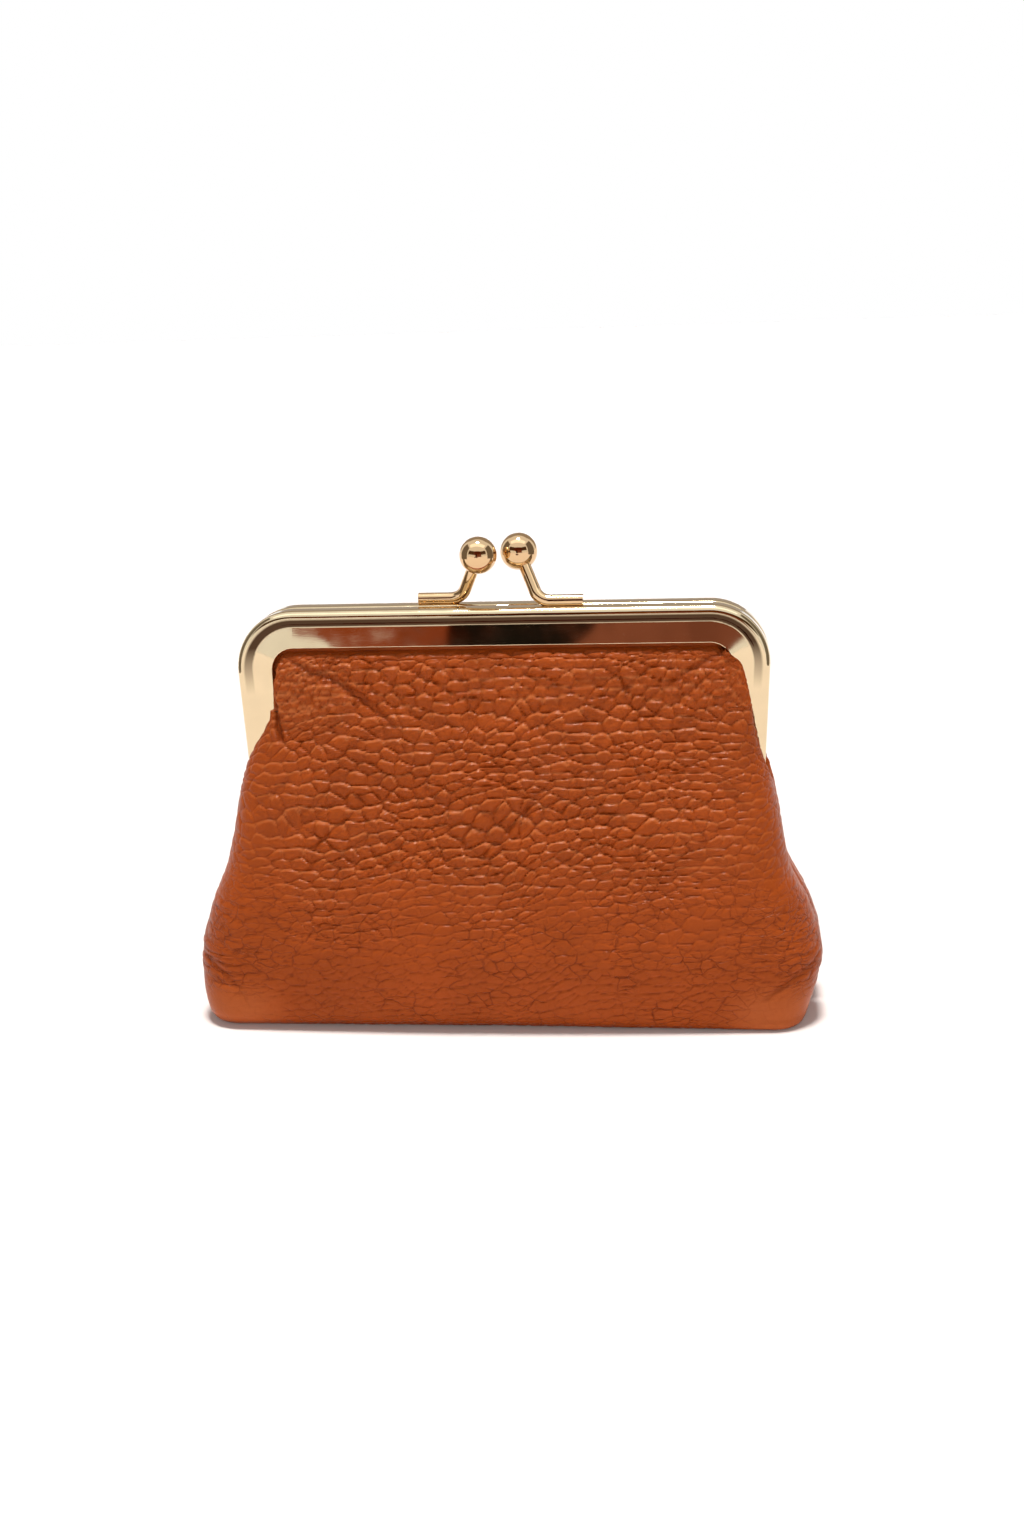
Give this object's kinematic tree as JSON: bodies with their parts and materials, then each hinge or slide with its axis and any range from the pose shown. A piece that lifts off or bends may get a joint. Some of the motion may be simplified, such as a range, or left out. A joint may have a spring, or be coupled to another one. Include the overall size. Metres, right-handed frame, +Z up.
{
  "type": "kiss lock frame purse",
  "caption": "Small boxed leather coin purse on a pressed metal frame whose halves turn on side rivets and shut with a ball clasp.",
  "frame": {"origin": "centre of the purse's box on the surface that its base stands on", "axes": "+X along the frame to the right seen from the front, the front faces -Y, +Z up"},
  "size_m": [0.1146, 0.036, 0.0869],
  "materials": {
    "tan_leather": "pebbled, semi-matt",
    "lining_cloth": "plain weave",
    "pale_gold": "polished pale gold plate",
    "paper_string": "twisted paper"
  },
  "bodies": {
    "bag": {"leather_front_panel": "tan_leather", "lining_front": "lining_cloth", "leather_back_panel": "tan_leather", "lining_back": "lining_cloth", "hinge_rivet_left": "pale_gold", "hinge_rivet_right": "pale_gold"},
    "front_frame": {"front_frame_channel": "pale_gold", "front_paper_cord": "paper_string", "front_clasp_stem": "pale_gold", "front_clasp_ball": "pale_gold"},
    "back_frame": {"back_frame_channel": "pale_gold", "back_paper_cord": "paper_string", "back_clasp_stem": "pale_gold", "back_clasp_ball": "pale_gold"}
  },
  "joints": [
    {"name": "front_frame_hinge", "type": "hinge", "parent": "bag", "child": "front_frame", "pos_m": [0, 0, 0.047], "axis": [1, 0, 0], "range_deg": [0, 45], "deforming": ["leather_front_panel", "lining_front"]},
    {"name": "back_frame_hinge", "type": "hinge", "parent": "bag", "child": "back_frame", "pos_m": [0, 0, 0.047], "axis": [-1, 0, 0], "range_deg": [0, 45], "deforming": ["leather_back_panel", "lining_back"]}
  ],
  "couplings": [
    {"joint": "back_frame_hinge", "follows": "front_frame_hinge", "ratio": 1}
  ]
}
